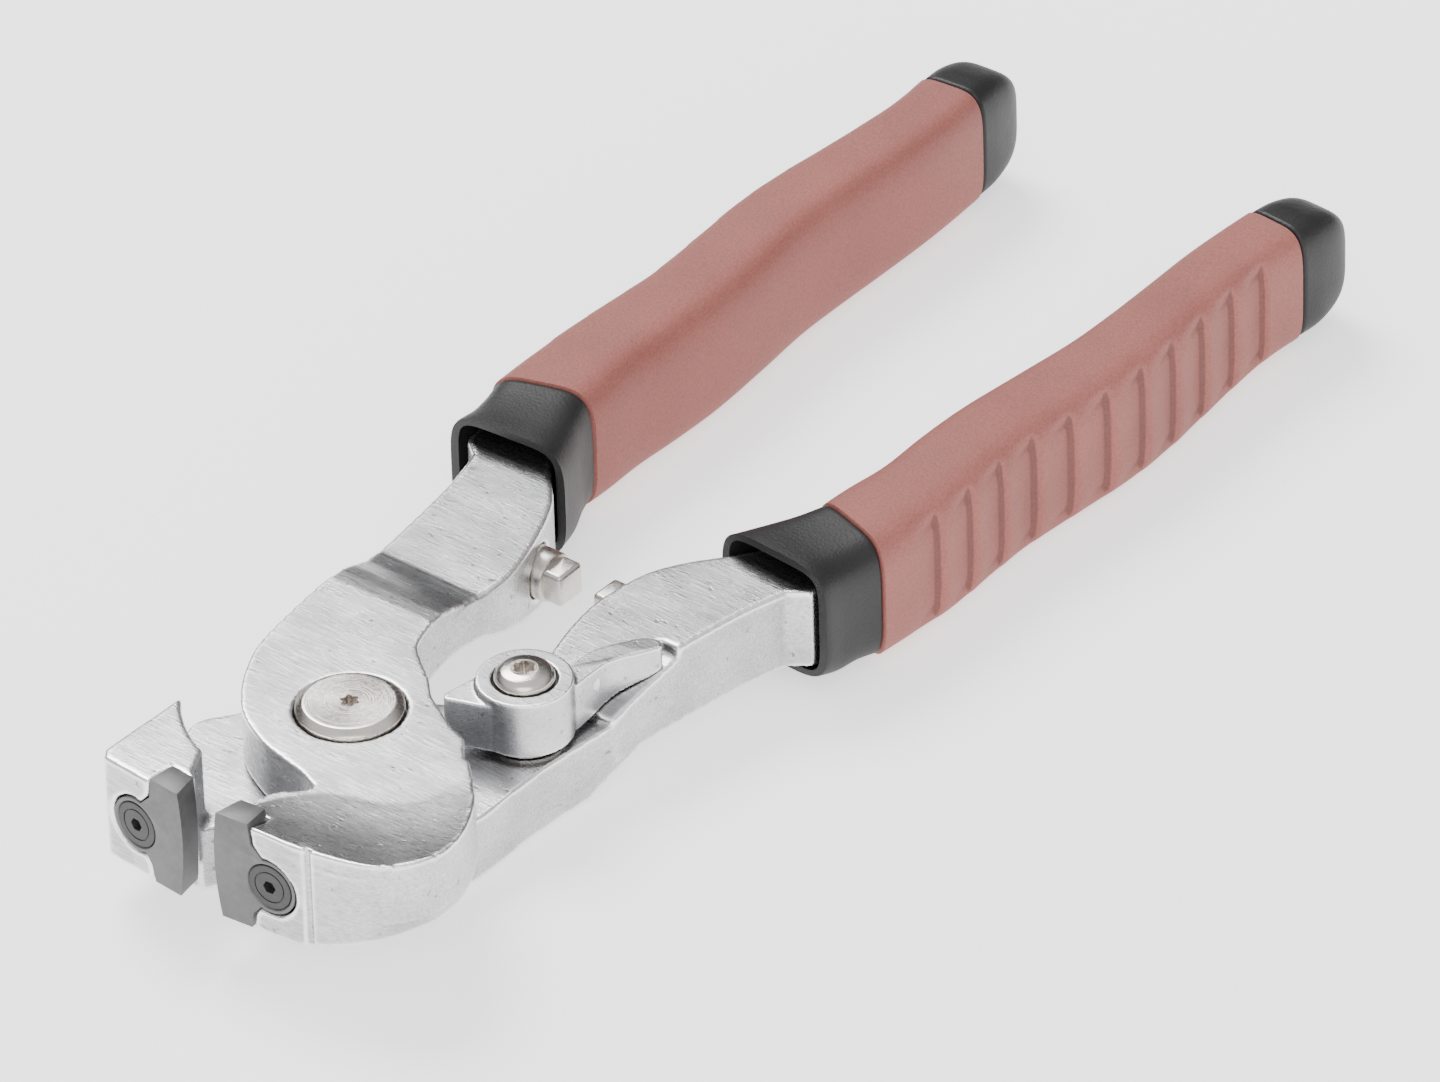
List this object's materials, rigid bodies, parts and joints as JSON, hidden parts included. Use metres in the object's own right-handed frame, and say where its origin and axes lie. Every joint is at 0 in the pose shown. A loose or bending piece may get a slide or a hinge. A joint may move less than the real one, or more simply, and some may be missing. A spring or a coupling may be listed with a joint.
{
  "type": "tile nippers",
  "caption": "Tile nippers with a cast aluminium body, carbide blades on facing jaws, a spring pivot, a thumb latch, stop pegs and long soft-grip handles.",
  "frame": {"origin": "centre of the pivot nut's underside, on the plane that the tool rests on", "axes": "+Z along the pivot axis, away from the resting plane; +Y from the pivot towards the handles; the jaws point to -Y; +X towards the handle that carries the latch"},
  "size_m": [0.0818, 0.2386, 0.0258],
  "materials": {
    "cast_aluminium": "cast and brushed",
    "turned_steel": "turned and polished",
    "spring_steel": "satin",
    "bronze": "satin",
    "carbide": "sintered, matte",
    "dark_steel": "blackened",
    "black_plastic": "matte",
    "red_grip": "fine matte texture"
  },
  "bodies": {
    "right_handle": {"right_arm": "cast_aluminium", "left_blade": "carbide", "left_blade_screw": "dark_steel", "pivot_bolt": "turned_steel", "pivot_nut": "turned_steel", "pivot_bushing": "bronze", "torsion_spring": "spring_steel", "latch_screw": "turned_steel", "latch_sleeve": "bronze", "latch_washer": "spring_steel", "right_stop_peg": "turned_steel", "right_grip_collar": "black_plastic", "right_grip_core": "black_plastic", "right_grip_sleeve": "red_grip", "right_end_cap": "black_plastic"},
    "left_handle": {"left_arm": "cast_aluminium", "right_blade": "carbide", "right_blade_screw": "dark_steel", "left_stop_peg": "turned_steel", "left_grip_collar": "black_plastic", "left_grip_core": "black_plastic", "left_grip_sleeve": "red_grip", "left_end_cap": "black_plastic"},
    "latch": {"latch_lever": "cast_aluminium"}
  },
  "joints": [
    {"name": "handle_pivot", "type": "hinge", "parent": "right_handle", "child": "left_handle", "pos_m": [0, 0, 0.0124], "axis": [0, 0, -1], "range_deg": [0, 6.1], "stiffness_Nm_per_rad": 0.8, "deforming": ["torsion_spring"]},
    {"name": "latch_swing", "type": "hinge", "parent": "right_handle", "child": "latch", "pos_m": [0.0165, 0.0216, 0.0178], "axis": [0, 0, -1], "range_deg": [0, 38]}
  ]
}
